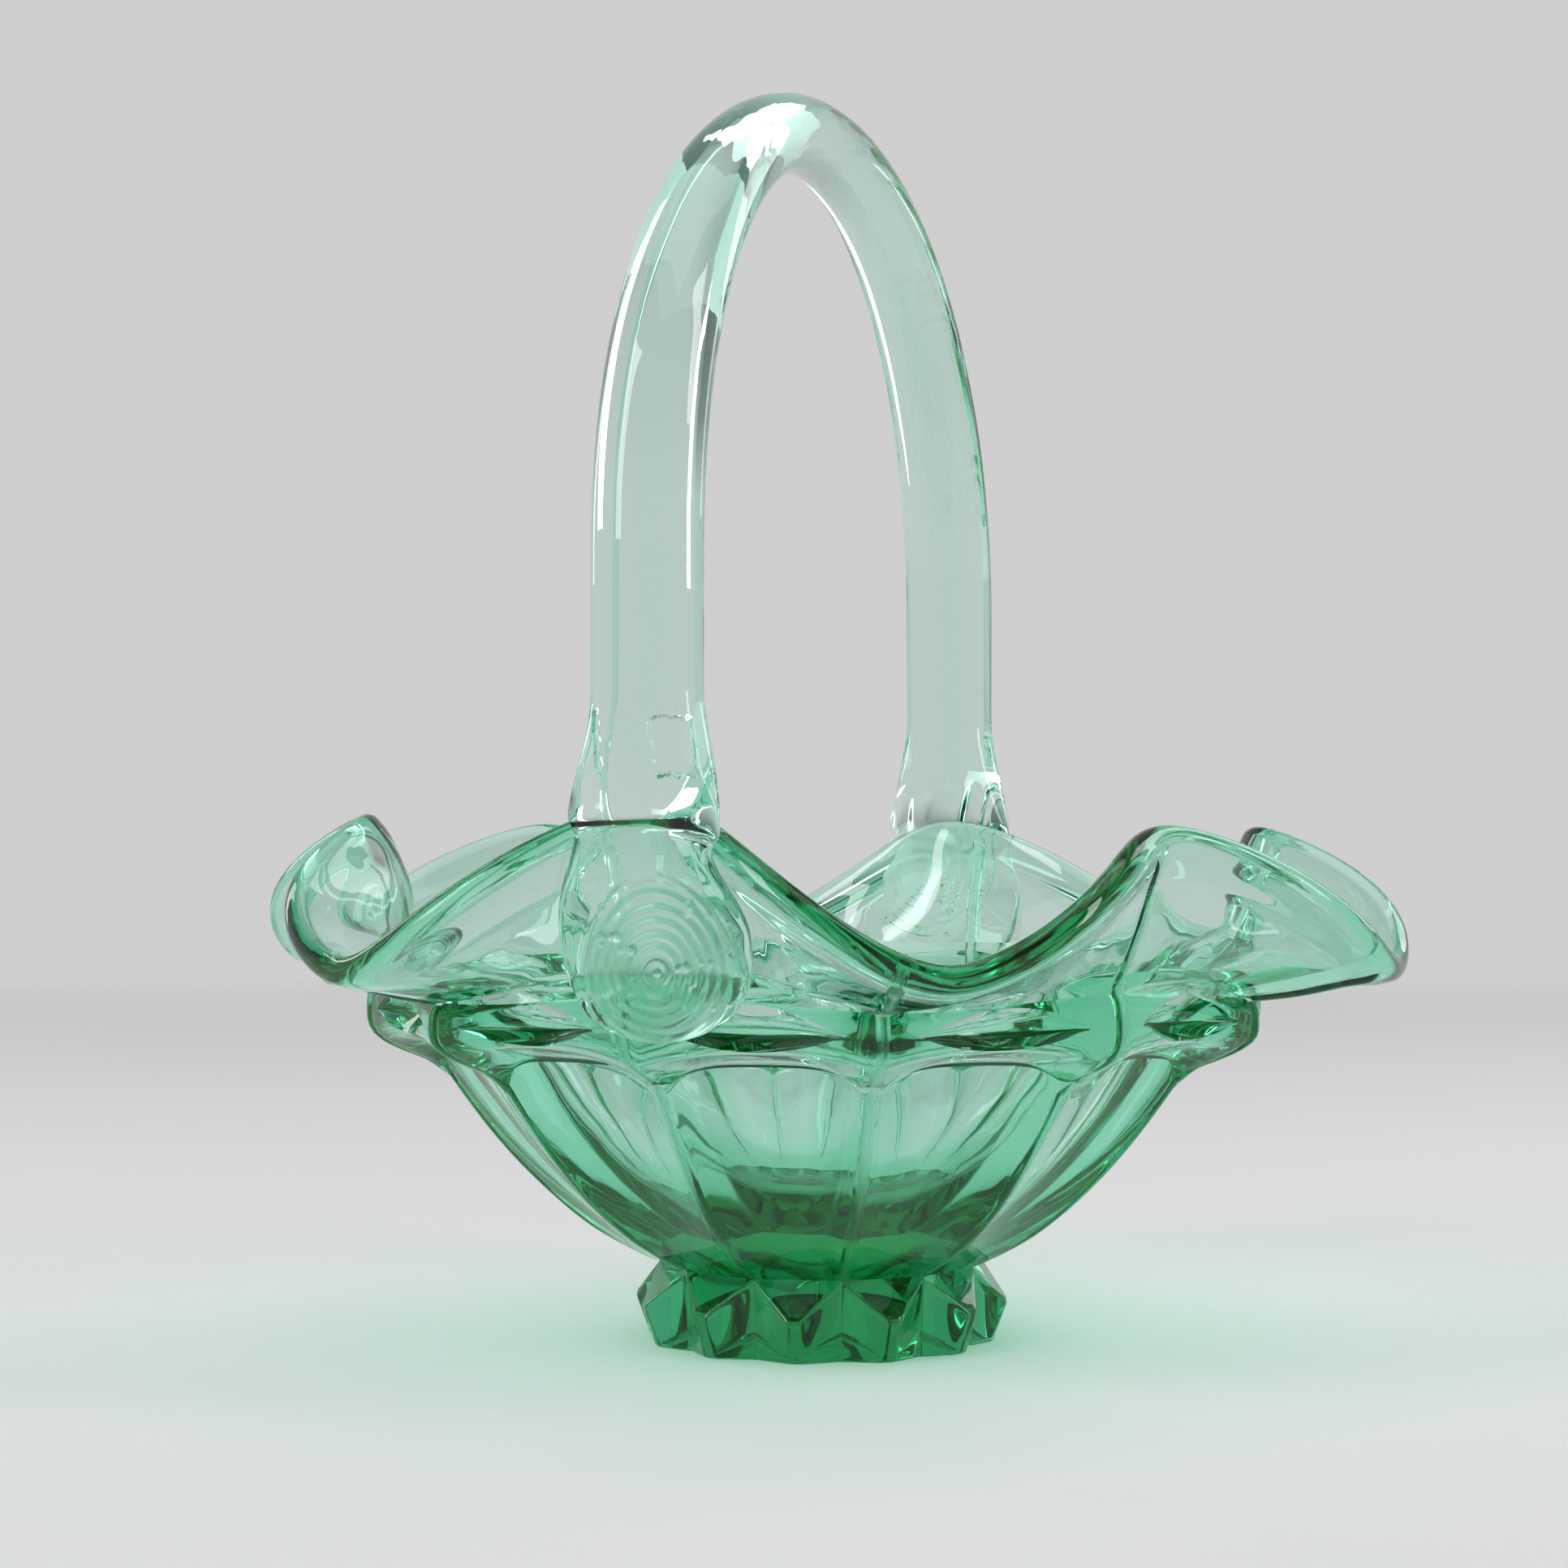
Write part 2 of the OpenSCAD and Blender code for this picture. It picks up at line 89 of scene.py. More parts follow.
class BasketBowlSizes(bpy.types.PropertyGroup):
    """Sizes of the pressed bowl, from the foot up to the lip."""

    foot_height: length("Foot height", "Height of the foot up to where the bowl starts", 12.4)
    foot_tip_height: length("Foot point height", "Height of the blunt points of the foot", 6.6)
    foot_tip_radius: length("Foot point radius", "Distance from the axis to the points", 29.9)
    foot_base_radius: length("Foot base radius", "Distance to the points at the table", 27.8)
    foot_valley_radius: length("Foot valley radius", "Distance to the valleys between them", 26)
    hollow_radius: length("Hollow radius", "Radius of the hollow under the foot", 19)
    hollow_depth: length("Hollow depth", "Depth of the hollow under the foot", 1.4)
    panel_count: bpy.props.IntProperty(
        name="Panels", description="Number of panels round the bowl", default=12
    )
    panel_turn: turn("Panel turn", "Turn of the first ridge between two panels", -6)
    body_radius: length("Body radius", "Radius of the ridges under the shoulder", 58.4)
    body_top: length("Body top", "Height of the ridges under the shoulder", 42.6)
    belly_radius: length("Belly radius", "Radius that the ridge curve bends towards", 43.5)
    belly_height: length("Belly height", "Height that the ridge curve bends towards", 20.5)
    flute_depth: length("Scoop depth", "Deepest scoop of a panel below the ridges", 3.2)
    flute_arch: length("Scoop arch", "Rise of the arched end of a scoop", 6)
    land: length("Land", "Half the width of the flat land along each ridge", 1.25)
    rib: length("Rib", "Height of the fine rib along each land", 0.75)
    rib_width: length("Rib width", "Half the width of that rib", 1)
    shoulder_radius: length("Shoulder radius", "Radius of the ridges on the shoulder", 71)
    shoulder_bottom: length("Shoulder bottom", "Height of the shoulder's lower edge", 47.8)
    shoulder_lift: length("Shoulder lift", "Rise of that edge in the middle of a panel", 1.6)
    shoulder_top: length("Shoulder top", "Height of the shoulder's upper edge", 56.4)
    shoulder_sway: length("Shoulder sway", "How far that edge follows the pinched rim", 1.1)
    shoulder_flat: length("Shoulder flat", "Depth of a panel's flat on the shoulder", 2.3)
    dimple_share: share("Dimple length", "Length of a dimple as a share of its panel", 0.7)
    dimple_rise: share("Dimple height", "Height of a dimple as a share of the flat", 0.9)
    dimple_depth: length("Dimple depth", "Depth of the dimples at the middle", 3.5)
    crimp_turn: turn("Pinch turn", "Turn of the first crest of the rim", -2)
    crest_height: length("Crest height", "Height of the middle of the lip at a crest", 80)
    dip_height: length("Dip height", "Height of the middle of the lip at a dip", 60)
    crest_radius: length("Crest radius", "Radius of the middle of the lip at a crest", 72.8)
    dip_radius: length("Dip radius", "Radius of the middle of the lip at a dip", 89.2)
    dip_sag: length("Dip sag", "Sag of the flare under a dip", 0.8)
    wall: length("Wall", "Thickness of the flared wall", 3.4)
    lip: length("Lip", "Thickness of the rounded lip", 4.4)
    flare_flute: length("Flare scoop", "Depth of the panels on the flare", 0.9)
    floor_height: length("Floor height", "Height of the floor of the bowl", 17.6)
    side_wall: length("Side wall", "From the inside to the ridges under the shoulder", 3.2)
    ripple: length("Ripple", "Depth of the soft unevenness of the inside", 0.16)


class BasketHandleSizes(bpy.types.PropertyGroup):
    """Sizes of the hoop handle and its stamped ends."""

    handle_top: length("Top", "Height of the top of the handle", 196.4)
    spring_height: length("Spring height", "Height at which the legs turn into the arch", 120)
    leg_depth: length("Leg depth", "Thickness of the legs, inside to outside", 13.6)
    leg_width: length("Leg width", "Width of the legs across the hoop", 15.8)
    top_depth: length("Top depth", "Thickness of the handle at its top", 12.4)
    top_width: length("Top width", "Width of the handle at its top", 12.9)
    pad_width: length("Stamp width", "Width of the stamped ends", 29.2)
    pad_height: length("Stamp height", "Height of the middle of the stamped ends", 63)
    pad_drop: length("Stamp drop", "From the middle of a stamped end to its lowest point", 11.8)
    pad_depth: length("Stamp depth", "Thickness at the middle of a stamped end", 6.2)
    pad_edge: length("Stamp edge", "Thickness at the edge of a stamped end", 2.6)
    collar_width: length("Collar width", "Width of the handle where it crosses the lip", 21.2)
    pad_shift: length("Stamp shift", "How far the end at +X sits to its left", 1.3)
    far_shift: length("Far stamp shift", "How far the end at -X sits to its left", 0.4)
    leg_offset: length("Leg offset", "From the middle of the lip to the inside of a leg", 1)
    seat_sink: length("Seat sink", "How far the ends are fused into the wall", 0.15)
    ring_pitch: length("Ring pitch", "Distance between two stamped rings", 1.55)
    ring_height: length("Ring height", "Height of the stamped rings", 0.6)
    streak: length("Streaks", "Depth of the fine streaks along the hoop", 0.16)


class BasketLook(bpy.types.PropertyGroup):
    """Colours of the two glasses and of the studio."""

    bowl_glass: colour("Bowl glass", "Colour that the bowl lets through", (0.04, 0.78, 0.53))
    bowl_strength: strength("Bowl strength", "How fast the bowl takes light, per metre", 98)
    handle_glass: colour("Handle glass", "Colour that the handle lets through", (0.25, 0.86, 0.66))
    handle_strength: strength("Handle strength", "How fast the handle takes light, per metre", 26)
    floor: colour("Floor", "Colour of the floor", (0.84, 0.84, 0.84))


def lerp(a, b, t):
    return a + (b - a) * t


def smooth(t):
    """0 below 0, 1 above 1, and a soft step between them."""
    t = max(0.0, min(1.0, t))
    return t * t * (3 - 2 * t)


def bend(a, b, c, t):
    """A number on the way from a to c, drawn towards b."""
    return (1 - t) ** 2 * a + 2 * t * (1 - t) * b + t * t * c


def curve(points, t):
    """A point on the curve from the first to the last point, drawn towards those between."""
    while len(points) > 1:
        pairs = zip(points, points[1:])
        points = [tuple(lerp(a, b, t) for a, b in zip(*pair)) for pair in pairs]
    return points[0]


def turned(radius, angle, z):
    """A point by its distance from the axis, turn angle and height."""
    return Vector((radius * math.cos(angle), radius * math.sin(angle), z))


def spread(first, last, count):
    """count numbers from first up to but not including last."""
    return [lerp(first, last, i / count) for i in range(count)]


class Shape:
    """Holds the sizes of a property group as plain numbers."""

    def __init__(self, *groups):
        for group in groups:
            for name in group.__annotations__:
                setattr(self, name, getattr(group, name))


class Bowl(Shape):
    """Where the surface of the bowl lies, by turn angle and place on the profile."""

    crimps = 6
    # Trims of single crests and dips in millimetres
    crest_lift = [2.6, -0.8, -1, 0, -0.5, 1]
    dip_lift = [0.6, 0, -0.5, 0.6, 0, 0.6]
    crest_spread = [-0.8, 2.5, 0, 0, 1, -1]
    crest_push = [1, -1, 1, 1, 1, 3.5]
    dip_spread = [0, 1, 0, 0, 1, 0]
    # Places of the mesh's columns, as shares of a panel from its ridge to its middle
    cuts = [0, 0.009, 0.0145, 0.0185, 0.0225, 0.027, 0.034, 0.044, 0.058, 0.078, 0.105]
    cuts += [0.14, 0.185, 0.235, 0.29, 0.345, 0.39, 0.42, 0.4333, 0.4467, 0.47, 0.5]
    # Foot: share of a panel that a point takes, its small edges, and the levels between
    # which its crease is rounded
    foot_tip_share = 1 / 15
    foot_bevel = 0.0008
    foot_step = 0.0003
    foot_round = 0.0004
    valley_lean = 0.0006
    crease_levels = (3.85, 4, 4.15)
    # Scoops: share of their depth at the foot, the wave it follows upwards, how softly they
    # leave a land, and how far their corners lie below the body's top
    scoop_start = 0.3
    scoop_wave = math.radians(130)
    scoop_soft = 0.012
    corner_drop = 0.001
    # The ledge: its start on the body and its end under the shoulder
    ledge_start = 0.985
    ledge_end = 0.08
    # Shoulder: how far its lower and upper edge are rounded off, and the land there
    round_off = (0.0022, 0.0011)
    shoulder_land = (1.7, 0.9)
    neck_inset = 0.0028
    # Its underside, in a panel's middle and on a ridge: how far out and up it starts, and how
    # far its corner lies below the lower edge and in from it
    under_reach = (0.002, 0.0032)
    under_rise = (0.0006, 0.0022)
    under_drop = (0.0002, 0.0014)
    under_inset = 0.002
    smallest_eye = 0.00035
    # Rim: how sharply the lip is pulled in at a crest, and how round it is at a dip
    crest_pull = 2.1
    dip_round = 0.86
    # Flare: where the wall thickens into the lip and the scoops fade, and the steps over
    # which its direction is measured
    lip_start = 0.7
    lip_blend = 0.25
    flute_fade = 0.5
    step_up = 0.02
    step_round = math.radians(1)
    # Inside: where on the flare it starts, the shares of its radius and height that its curve
    # bends towards, and how far out and up it is drawn above the shoulder and at the neck
    inside_start = 0.06
    floor_share = 0.66
    side_share = 0.84
    side_rise = 0.55
    leave_shoulder = (0.0059, 0.0022)
    meet_neck = (0.005, 0.0024)
    # Unevenness: the point that it is measured from, and its share on the outside
    ripple_centre = Vector((0, 0, 0.075))
    outer_ripple = 0.3
    rib_frost = 0.3

    def __init__(self, *groups):
        super().__init__(*groups)
        self.half_panel = math.pi / self.panel_count
        self.columns = self.cuts + [1 - x for x in self.cuts[-2:0:-1]]
        self.inside_radius = self.body_radius - self.side_wall
        self.neck_radius = self.shoulder_radius - self.neck_inset
        self.valley_flat = self.foot_valley_radius * math.cos(self.half_panel)
        for name in ("rim_point", "band_bottom", "band_top", "flare_middle"):
            setattr(self, name, lru_cache(None)(getattr(self, name)))

    def off_middle(self, angle):
        """1 on a ridge, 0 in the middle of a panel."""
        p = (angle - self.panel_turn) / (2 * self.half_panel)
        return abs(2 * (p - math.floor(p)) - 1)

    def scoop(self, angle, radius, land=1.0):
        """0 on the land of a ridge, 1 in the middle of a panel, round between them."""
        half = self.half_panel * radius
        land *= self.land
        t = ((1 - self.off_middle(angle)) * half - land) / (half - land)
        t = (t + math.hypot(t, self.scoop_soft)) / 2
        return 1 - (1 - t) ** 2

    def ridge_rib(self, angle, radius):
        """Height of the fine rib on a land."""
        u = (1 - self.off_middle(angle)) * self.half_panel * radius / self.rib_width
        return self.rib * max(1 - u * u, 0) ** 0.7

    def frost(self, kind, angle, radius):
        """How dull the glass is: the fine ribs were not polished by the fire."""
        if kind not in ("body", "ledge", "under", "band", "flare"):
            return 0.0
        return self.rib_frost * self.ridge_rib(angle, radius) / self.rib

    def star(self, tip, valley, v):
        """Distance to the star outline of the foot, from a point (0) to a valley (1)."""
        half = self.half_panel
        corner = (tip, tip * math.sin(self.foot_tip_share * 2 * half))
        edge = (valley * math.cos(half) - corner[0], valley * math.sin(half) - corner[1])
        way = (math.cos(half * v), math.sin(half * v))
        side = (corner[0] * edge[1] - corner[1] * edge[0]) / (way[0] * edge[1] - way[1] * edge[0])
        flat = tip / math.cos(half * v)
        near = max(self.foot_round - abs(flat - side), 0)
        return min(flat, side) - near * near / (4 * self.foot_round)

    def foot_point(self, angle, level):
        """The foot, 0 in the middle of its hollow and 5 at its top, with its crease rounded."""
        low, _, high = self.crease_levels
        if low < level < high:
            corners = [self.sharp_foot(angle, x) for x in self.crease_levels]
            return curve(corners, (level - low) / (high - low))
        return self.sharp_foot(angle, level)

    def sharp_foot(self, angle, level):
        """The foot with a sharp crease where its points meet the slope above them."""
        v = 1 - math.hypot(1 - self.off_middle(angle), 0.02)
        low = self.star(self.foot_base_radius, self.foot_valley_radius - self.valley_lean, v)
        tip = self.star(self.foot_tip_radius, self.foot_valley_radius, v)
        x = tip * math.cos(self.half_panel * v)
        slope = (self.foot_height - self.foot_step - self.foot_tip_height) / (
            self.foot_tip_radius - self.valley_flat
        )
        crease = self.foot_tip_height + (self.foot_tip_radius - x) * slope
        top = (self.valley_flat - self.foot_step) / math.cos(self.half_panel * v)
        if level <= 1:
            hollow = math.sin(math.pi / 2 * level)
            return lerp(0, self.hollow_radius, level), self.hollow_depth * (1 - hollow**3)
        if level <= 2:
            return lerp(self.hollow_radius, low - self.foot_bevel, level - 1), 0
        if level <= 3:
            a = (level - 2) * math.pi / 2
            return low - self.foot_bevel * (1 - math.sin(a)), self.foot_bevel * (1 - math.cos(a))
        if level <= 4:
            return lerp(low, tip, level - 3), lerp(self.foot_bevel, crease, level - 3)
        return lerp(tip, top, level - 4), lerp(crease, self.foot_height, level - 4)

    def ridge_radius(self, z):
        """Radius of the ridges, which follow one curve from the foot to the shoulder."""
        a = self.foot_height - 2 * self.belly_height + self.body_top
        b = 2 * (self.belly_height - self.foot_height)
        c = self.foot_height - z
        t = (math.sqrt(b * b - 4 * a * c) - b) / (2 * a)
        return bend(self.foot_valley_radius, self.belly_radius, self.body_radius, t)

    def scoop_end(self, v):
        """Height of a scoop's arched end, from its middle (0) to a ridge (1)."""
        return self.body_top - self.corner_drop + self.flute_arch * (1 - v**4)

    def body_point(self, angle, t):
        z = lerp(self.foot_height, self.scoop_end(self.off_middle(angle)), t)
        wave = math.sin(self.scoop_wave * t)
        depth = self.flute_depth * lerp(self.scoop_start, 1, wave)
        ridge = self.ridge_radius(z)
        rib = self.ridge_rib(angle, ridge) * smooth(t / 0.2)
        return ridge - depth * self.scoop(angle, ridge) + rib, z

    def ledge_point(self, angle, t):
        """The rounded step from the end of a scoop out to the underside of the shoulder."""
        low, foot = self.body_point(angle, self.ledge_start), self.body_point(angle, 1)
        head, high = self.under_point(angle, 0), self.under_point(angle, self.ledge_end)
        middle = curve([foot, head], 0.5)
        if t < 1:
            return curve([low, foot, middle], t)
        return curve([middle, head, high], t - 1)

    def pinch(self, angle):
        """1 at a crest of the rim, 0 at a dip."""
        return (1 + math.cos(self.crimps * (angle - self.crimp_turn))) / 2

    def band_bottom(self, angle):
        return self.shoulder_bottom + self.shoulder_lift * self.scoop(angle, self.shoulder_radius)

    def band_top(self, angle):
        return self.shoulder_top + self.shoulder_sway * (2 * self.pinch(angle) - 1)

    def band_radius(self, angle, z):
        """Radius of the shoulder without its dimples."""
        low, high = self.band_bottom(angle), self.band_top(angle)
        t = (z - low) / (high - low)
        round_off = self.round_off[0 if t < 0.5 else 1] * abs(2 * t - 1) ** 3
        scoop = self.scoop(angle, self.shoulder_radius, lerp(*self.shoulder_land, t))
        return self.shoulder_radius - round_off - self.shoulder_flat * scoop

    def under_point(self, angle, t):
        """The underside of the shoulder, from the end of a scoop out to the lower edge."""
        v = self.off_middle(angle)
        low = self.band_bottom(angle)
        edge = (self.band_radius(angle, low) + self.ridge_rib(angle, self.shoulder_radius), low)
        reach = self.body_radius + lerp(*self.under_reach, v)
        start = (
            reach + self.ridge_rib(angle, self.body_radius),
            lerp(self.scoop_end(v) + self.under_rise[0], self.body_top + self.under_rise[1], v**4),
        )
        corner = (edge[0] - self.under_inset, edge[1] - lerp(*self.under_drop, v * v))
        return curve([start, corner, edge], t)

    def dimple_point(self, angle, level):
        """Levels -1 and 1 are the lower and upper edge of the dimple, 0 is its middle."""
        low, high = self.band_bottom(angle), self.band_top(angle)
        eye = 1 - (self.off_middle(angle) / self.dimple_share) ** 2
        half = max(self.dimple_rise * (high - low) / 2 * eye, self.smallest_eye)
        z = (low + high) / 2 + level * half
        depth = self.dimple_depth * max(eye, 0) * (1 - level * level)
        rib = self.ridge_rib(angle, self.shoulder_radius)
        return self.band_radius(angle, z) - depth + rib, z

    def band_point(self, angle, level):
        """The shoulder, from its lower edge (-2) over a dimple (-1 to 1) to its upper (2)."""
        if abs(level) <= 1:
            return self.dimple_point(angle, level)
        rim_of_eye = self.dimple_point(angle, math.copysign(1, level))[1]
        edge = self.band_bottom(angle) if level < 0 else self.band_top(angle)
        z = lerp(rim_of_eye, edge, abs(level) - 1)
        return self.band_radius(angle, z) + self.ridge_rib(angle, self.shoulder_radius), z

    def trim(self, values, angle, shift=0.0):
        """A trim list read at an angle, in metres, with smooth steps between its entries."""
        p = (angle - self.crimp_turn) / (2 * math.pi / self.crimps) + shift
        i = math.floor(p)
        a, b = (values[k % len(values)] for k in (i, i + 1))
        return lerp(a, b, smooth(p - i)) * MM

    def rim_point(self, angle):
        """Middle of the lip, as radius and height."""
        h = self.pinch(angle)
        crest_z = self.crest_height + self.trim(self.crest_lift, angle)
        crest_r = self.crest_radius + self.trim(self.crest_spread, angle)
        dip_z = self.dip_height + self.trim(self.dip_lift, angle, -0.5)
        dip_r = self.dip_radius + self.trim(self.dip_spread, angle, -0.5)
        return lerp(dip_r, crest_r, h**self.crest_pull), lerp(dip_z, crest_z, h**self.dip_round)

    def flare_middle(self, angle, s):
        """Middle of the flared wall, 0 at the neck and 1 at the lip."""
        r, z = self.rim_point(angle)
        neck_r, neck_z = self.neck_radius, self.band_top(angle) + self.wall / 2
        run, rise = r - neck_r, z - neck_z
        size = math.hypot(run, rise)
        bow = lerp(self.dip_sag, -self.trim(self.crest_push, angle), self.pinch(angle))
        bow *= 4 * s * (1 - s)
        return turned(
            lerp(neck_r, r, s) + bow * rise / size, angle, lerp(neck_z, z, s) - bow * run / size
        )

    def flare_up(self, angle, s):
        low, high = s - self.step_up, s + self.step_up
        return (self.flare_middle(angle, high) - self.flare_middle(angle, low)).normalized()

    def flare_out(self, angle, s):
        step = self.step_round
        along = self.flare_middle(angle + step, s) - self.flare_middle(angle - step, s)
        return along.cross(self.flare_up(angle, s)).normalized()

    def half_wall(self, s):
        return lerp(self.wall, self.lip, smooth((s - self.lip_start) / self.lip_blend)) / 2

    def flare_outer(self, angle, s, gap=None):
        """The outside of the flare with its ribs, or plain and a gap away from the wall."""
        middle = self.flare_middle(angle, s)
        radius = math.hypot(middle.x, middle.y)
        scoop = self.scoop(angle, radius, self.shoulder_land[1])
        flute = self.flare_flute * scoop * smooth((1 - s) / self.flute_fade)
        over = self.ridge_rib(angle, radius) * smooth((1 - s) / 0.1) if gap is None else gap
        return middle + (self.half_wall(s) - flute + over) * self.flare_out(angle, s)

    def flare_inner(self, angle, s):
        return self.flare_middle(angle, s) - self.half_wall(s) * self.flare_out(angle, s)

    def lip_point(self, angle, around, gap=0.0):
        """Round the lip: 0 faces out, a quarter turn is its edge, half a turn faces in."""
        out, up = self.flare_out(angle, 1.0), self.flare_up(angle, 1.0)
        way = math.cos(around) * out + math.sin(around) * up
        return self.flare_middle(angle, 1.0) + (self.lip / 2 + gap) * way

    def inside_point(self, angle, t):
        """The inside, 0 at the middle of the floor, 1 at the shoulder and 2 at the neck."""
        top = self.flare_inner(angle, self.inside_start)
        neck = (math.hypot(top.x, top.y), top.z)
        start = (self.inside_radius, self.shoulder_bottom)
        if t >= 1:
            low = tuple(a + b for a, b in zip(start, self.leave_shoulder))
            high = tuple(a - b for a, b in zip(neck, self.meet_neck))
            return curve([start, low, high, neck], t - 1)
        rise = lerp(self.floor_height, self.shoulder_bottom, self.side_rise)
        low = (self.inside_radius * self.floor_share, self.floor_height)
        high = (self.inside_radius * self.side_share, rise)
        return curve([(0, self.floor_height), low, high, start], t)

    def profile(self):
        """Every level of the profile, from under the foot round the lip to the floor."""
        low, _, high = self.crease_levels
        levels = {
            "foot": spread(0, 1, 5) + spread(1, 2, 3) + spread(2, 3, 4)
            + spread(3, low, 5) + spread(low, high, 6) + spread(high, 5, 5) + [5],
            "body": spread(0.02, self.ledge_start, 30),
            "ledge": spread(0, 2, 8),
            "under": spread(self.ledge_end, 1, 6),
            "band": spread(-2, -1, 4) + spread(-1, 1, 20) + spread(1, 2, 4) + [2],
            "flare": spread(0.04, 1, 30),
            "lip": spread(0, math.pi, 16),
            "lining": spread(1, self.inside_start, 18),
            "inside": spread(2, 1, 12) + spread(1, 0, 18) + [0],
        }
        return [(kind, level) for kind, places in levels.items() for level in places]

    def uneven(self, p, share):
        """A point of the bowl moved in or out by the soft unevenness of the glass."""
        out = (p - self.ripple_centre).normalized()
        wave = noise.noise(p * 110) + 0.35 * noise.noise(p * 290)
        return p + out * wave * self.ripple * share

    def place(self, kind, level, angle):
        """A point of the bowl, by a level of its profile and a turn angle."""
        fade = smooth((1 - level) / 0.2)
        if kind == "flare":
            return self.uneven(self.flare_outer(angle, level), self.outer_ripple * fade)
        if kind == "lip":
            return self.lip_point(angle, level)
        if kind == "lining":
            return self.uneven(self.flare_inner(angle, level), fade)
        radius, z = getattr(self, kind + "_point")(angle, level)
        p = turned(radius, angle, z)
        if kind == "foot":
            return p
        return self.uneven(p, 1.0 if kind == "inside" else self.outer_ripple)


class Handle(Shape):
    """Where the surface of the handle lies."""

    # Middle of each stamp, as its distance to the left of the plane and its height
    stamps = {1: (0.0004, 0.061), -1: (-0.0025, 0.0715)}
    stamp_radius = 0.0112
    bubble_size = 0.0006
    frosting = 0.36
    # Marks that tools left on the leg at +X: middle, half the width and height, and depth
    marks = [(0.0053, 0.0919, 0.0028, 0.0042, 0.0009), (-0.0052, 0.0925, 0.0008, 0.0046, 0.0006)]
    # Above the lip: where the leg has left it, and where it has its own width
    leaving_height = 0.009
    taper_height = 0.018
    # Height above the lip at which a stamped end's shift starts, and how far down it grows
    shift_rise = 0.012
    shift_height = 0.022
    # How far above its middle a stamped end starts to change into the leg
    stamp_rise = 0.003
    # How softly the front meets the least thickness, and half the least width of an end
    front_soft = 0.0012
    least_width = 0.0012

    def __init__(self, bowl, *groups):
        super().__init__(*groups)
        self.bowl = bowl
        self.leg_middle = bowl.crest_radius + self.leg_offset + self.leg_depth / 2
        self.leg_front = self.leg_middle + self.leg_depth / 2
        self.arch_rise = self.handle_top - self.top_depth / 2 - self.spring_height
        self.pad_bottom = self.pad_height - self.pad_drop
        self.collar = bowl.crest_height + bowl.lip / 2
        self.taper = self.collar + self.taper_height
        self.wall_x = self.seat(0.0, 0.25).x
        self.around = self.turns()
        self.bubbles = self.scatter()

    @staticmethod
    def turns():
        """The turns of a section's points: close together across the front, wider behind."""
        front = math.radians(75)
        across = spread(-math.sin(front), math.sin(front), 110) + [math.sin(front)]
        sides = spread(front, math.pi - front, 10)[1:]
        behind = spread(math.pi - front, math.pi + front, 40) + [math.pi + front]
        other = [2 * math.pi - x for x in sides[::-1]]
        return [math.asin(x) for x in across] + sides + behind + other

    def scatter(self):
        """Places of the small bubbles between the rings of a stamp."""
        golden, places = math.radians(137.5), []
        for i in range(30):
            reach = self.stamp_radius * math.sqrt((i + 1.5) / 31)
            sway = noise.noise(Vector((i * 1.7, 0.3, 0.0)))
            turn = i * golden + 2 * sway
            places.append((reach * math.sin(turn), -reach * math.cos(turn), 1 + 0.5 * sway))
        return places

    def half_width(self, z):
        """Half the width of a stamped end and the leg above it, by height."""
        if z < self.pad_height:
            low = min((self.pad_height - z) / self.pad_drop, 1)
            return max(self.pad_width / 2 * math.sqrt(1 - low * low), self.least_width)
        if z < self.collar:
            low = self.pad_height + self.stamp_rise
            t = (z - low) / (self.collar - low)
            return lerp(self.pad_width, self.collar_width, smooth(t)) / 2
        t = (z - self.collar) / (self.taper - self.collar)
        return lerp(self.collar_width, self.leg_width, smooth(t)) / 2

    def seat(self, angle, level):
        """The wall behind the handle: -1 is low on the shoulder, 0 its edge, 1 the lip."""
        if level > 0:
            return self.bowl.flare_outer(angle, level, -self.seat_sink)
        z = lerp(self.bowl.band_top(angle), self.pad_bottom, -level)
        return turned(self.bowl.band_radius(angle, z) - self.seat_sink, angle, z)

    def back_point(self, side, kind, level, y):
        """The same wall by distance y from the middle plane, seen from the leg's own side."""
        if kind == "leg":
            return Vector((self.leg_middle - self.leg_depth / 2, y, level))
        far = math.pi if side < 0 else 0
        angle = far + math.asin(y / (self.bowl.shoulder_radius + self.bowl.wall))
        if kind == "seat":
            p = self.seat(angle, level)
        else:
            p = self.bowl.lip_point(angle, level, -self.seat_sink)
        return Vector((side * p.x, side * p.y, p.z))

    def pad_front(self, z):
        """Distance from the axis to the front of a stamped end and the leg above it."""
        t = (z - self.pad_height - self.stamp_rise) / (0.7 * (self.taper - self.pad_height))
        tuck = 1 - max(0.0, min(1.0, (z - self.pad_bottom) / 0.005))
        return lerp(self.wall_x + self.pad_depth, self.leg_front, smooth(t)) - 0.0024 * tuck**2

    def sideways(self, side, z):
        """Each stamped end sits a little to the left of the hoop, seen from its own side."""
        shift = self.far_shift if side < 0 else self.pad_shift
        return -shift * smooth((self.collar + self.shift_rise - z) / self.shift_height)

    def edge(self, side, kind, level, way):
        """Distance from the middle plane to one edge of a section, found on the wall."""
        y = 0.0
        for _ in range(4):
            z = self.back_point(side, kind, level, y).z
            y = self.sideways(side, z) + way * self.half_width(z)
        return y

    def on_stamp(self, side, y, z):
        """A place on a stamped end as its distances from the middle of the stamp."""
        left, middle = self.stamps[side]
        up = z - middle
        if up > 0:
            up *= max(1 - 14 * up, 0.6)
        return y + left, up

    def frost(self, p):
        """How dull the glass is at a point: the tool left the stamps less bright."""
        side = 1 if p.x > 0 else -1
        if side * p.x < self.wall_x + 0.002 or p.z > self.collar:
            return 0.0
        reach = math.hypot(*self.on_stamp(side, side * p.y, p.z))
        return self.frosting * smooth((self.stamp_radius + 0.0006 - reach) / 0.002)

